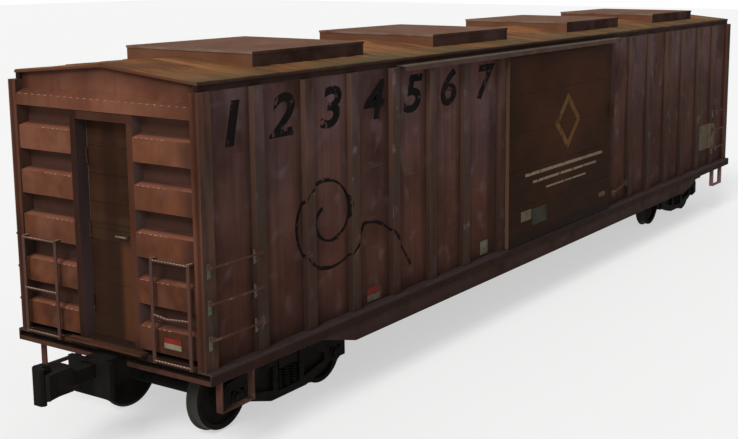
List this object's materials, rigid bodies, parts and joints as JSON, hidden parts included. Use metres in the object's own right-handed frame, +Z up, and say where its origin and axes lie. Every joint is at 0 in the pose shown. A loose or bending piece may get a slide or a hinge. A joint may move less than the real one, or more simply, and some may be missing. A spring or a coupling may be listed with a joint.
{
  "type": "railroad boxcar",
  "caption": "Long railroad boxcar with outside posts, ribbed ends with recessed doors, sliding side doors and flat-lidded roof hatches, on swivelling trucks.",
  "frame": {"origin": "midway between the couplers and between the sides, at the bottom of the wheel flanges", "axes": "+X along the car towards end B, -Y towards the near side, +Z up"},
  "size_m": [18.45, 3.1, 4.35],
  "materials": {
    "body_steel": "matt worn paint with rust",
    "door_steel": "matt worn paint",
    "roof_steel": "weathered and rusty",
    "hatch_steel": "weathered",
    "track_steel": "worn",
    "underframe_steel": "dusty black",
    "running_gear": "dirty casting",
    "wheel_steel": "dirty with a worn tread",
    "deck_wood": "worn planks"
  },
  "bodies": {
    "car_body": {"floor_deck": "deck_wood", "centre_sill": "underframe_steel", "body_bolsters": "underframe_steel", "cross_bearers": "underframe_steel", "side_sill_near": "underframe_steel", "side_sill_far": "underframe_steel", "end_sills": "body_steel", "draft_pockets": "running_gear", "couplers": "running_gear", "coupler_knuckles": "running_gear", "air_brake_gear": "underframe_steel", "wall_near_a": "body_steel", "wall_near_b": "body_steel", "wall_far_a": "body_steel", "wall_far_b": "body_steel", "corner_posts": "body_steel", "eave_chord_near": "body_steel", "eave_chord_far": "body_steel", "door_track_near": "track_steel", "door_track_far": "track_steel", "roof_deck": "roof_steel", "roof_hatches": "hatch_steel", "end_wall_a": "body_steel", "end_wall_b": "body_steel", "end_beams": "body_steel", "end_door_frames": "body_steel", "end_ladders": "body_steel", "grab_irons": "body_steel", "step_stirrups": "body_steel"},
    "side_door_near": {"side_door_near": "door_steel"},
    "side_door_far": {"side_door_far": "door_steel"},
    "end_door_a": {"end_door_a": "door_steel"},
    "end_door_b": {"end_door_b": "door_steel"},
    "truck_a": {"truck_a_side_frames": "running_gear", "truck_a_bolster": "running_gear", "truck_a_springs": "running_gear", "truck_a_brake_beams": "running_gear"},
    "wheelset_a1": {"axle_a1": "wheel_steel", "wheels_a1": "wheel_steel"},
    "wheelset_a2": {"axle_a2": "wheel_steel", "wheels_a2": "wheel_steel"},
    "truck_b": {"truck_b_side_frames": "running_gear", "truck_b_bolster": "running_gear", "truck_b_springs": "running_gear", "truck_b_brake_beams": "running_gear"},
    "wheelset_b1": {"axle_b1": "wheel_steel", "wheels_b1": "wheel_steel"},
    "wheelset_b2": {"axle_b2": "wheel_steel", "wheels_b2": "wheel_steel"}
  },
  "joints": [
    {"name": "truck_a_swivel", "type": "hinge", "parent": "car_body", "child": "truck_a", "pos_m": [-6.42, 0, 0.715], "axis": [0, 0, 1], "range_deg": [-6, 6]},
    {"name": "wheelset_a1_spin", "type": "hinge", "parent": "truck_a", "child": "wheelset_a1", "pos_m": [-7.335, 0, 0.445], "axis": [0, 1, 0], "continuous": true},
    {"name": "wheelset_a2_spin", "type": "hinge", "parent": "truck_a", "child": "wheelset_a2", "pos_m": [-5.505, 0, 0.445], "axis": [0, 1, 0], "continuous": true},
    {"name": "truck_b_swivel", "type": "hinge", "parent": "car_body", "child": "truck_b", "pos_m": [6.42, 0, 0.715], "axis": [0, 0, 1], "range_deg": [-6, 6]},
    {"name": "wheelset_b1_spin", "type": "hinge", "parent": "truck_b", "child": "wheelset_b1", "pos_m": [5.505, 0, 0.445], "axis": [0, 1, 0], "continuous": true},
    {"name": "wheelset_b2_spin", "type": "hinge", "parent": "truck_b", "child": "wheelset_b2", "pos_m": [7.335, 0, 0.445], "axis": [0, 1, 0], "continuous": true},
    {"name": "side_door_near_slide", "type": "slide", "parent": "car_body", "child": "side_door_near", "axis": [-1, 0, 0], "range_m": [0, 2.75]},
    {"name": "side_door_far_slide", "type": "slide", "parent": "car_body", "child": "side_door_far", "axis": [1, 0, 0], "range_m": [0, 2.75]},
    {"name": "end_door_a_swing", "type": "hinge", "parent": "car_body", "child": "end_door_a", "pos_m": [-8.0885, 0.3865, 2.4], "axis": [0, 0, -1], "range_deg": [0, 90]},
    {"name": "end_door_b_swing", "type": "hinge", "parent": "car_body", "child": "end_door_b", "pos_m": [8.0885, -0.3865, 2.4], "axis": [0, 0, -1], "range_deg": [0, 90]}
  ]
}
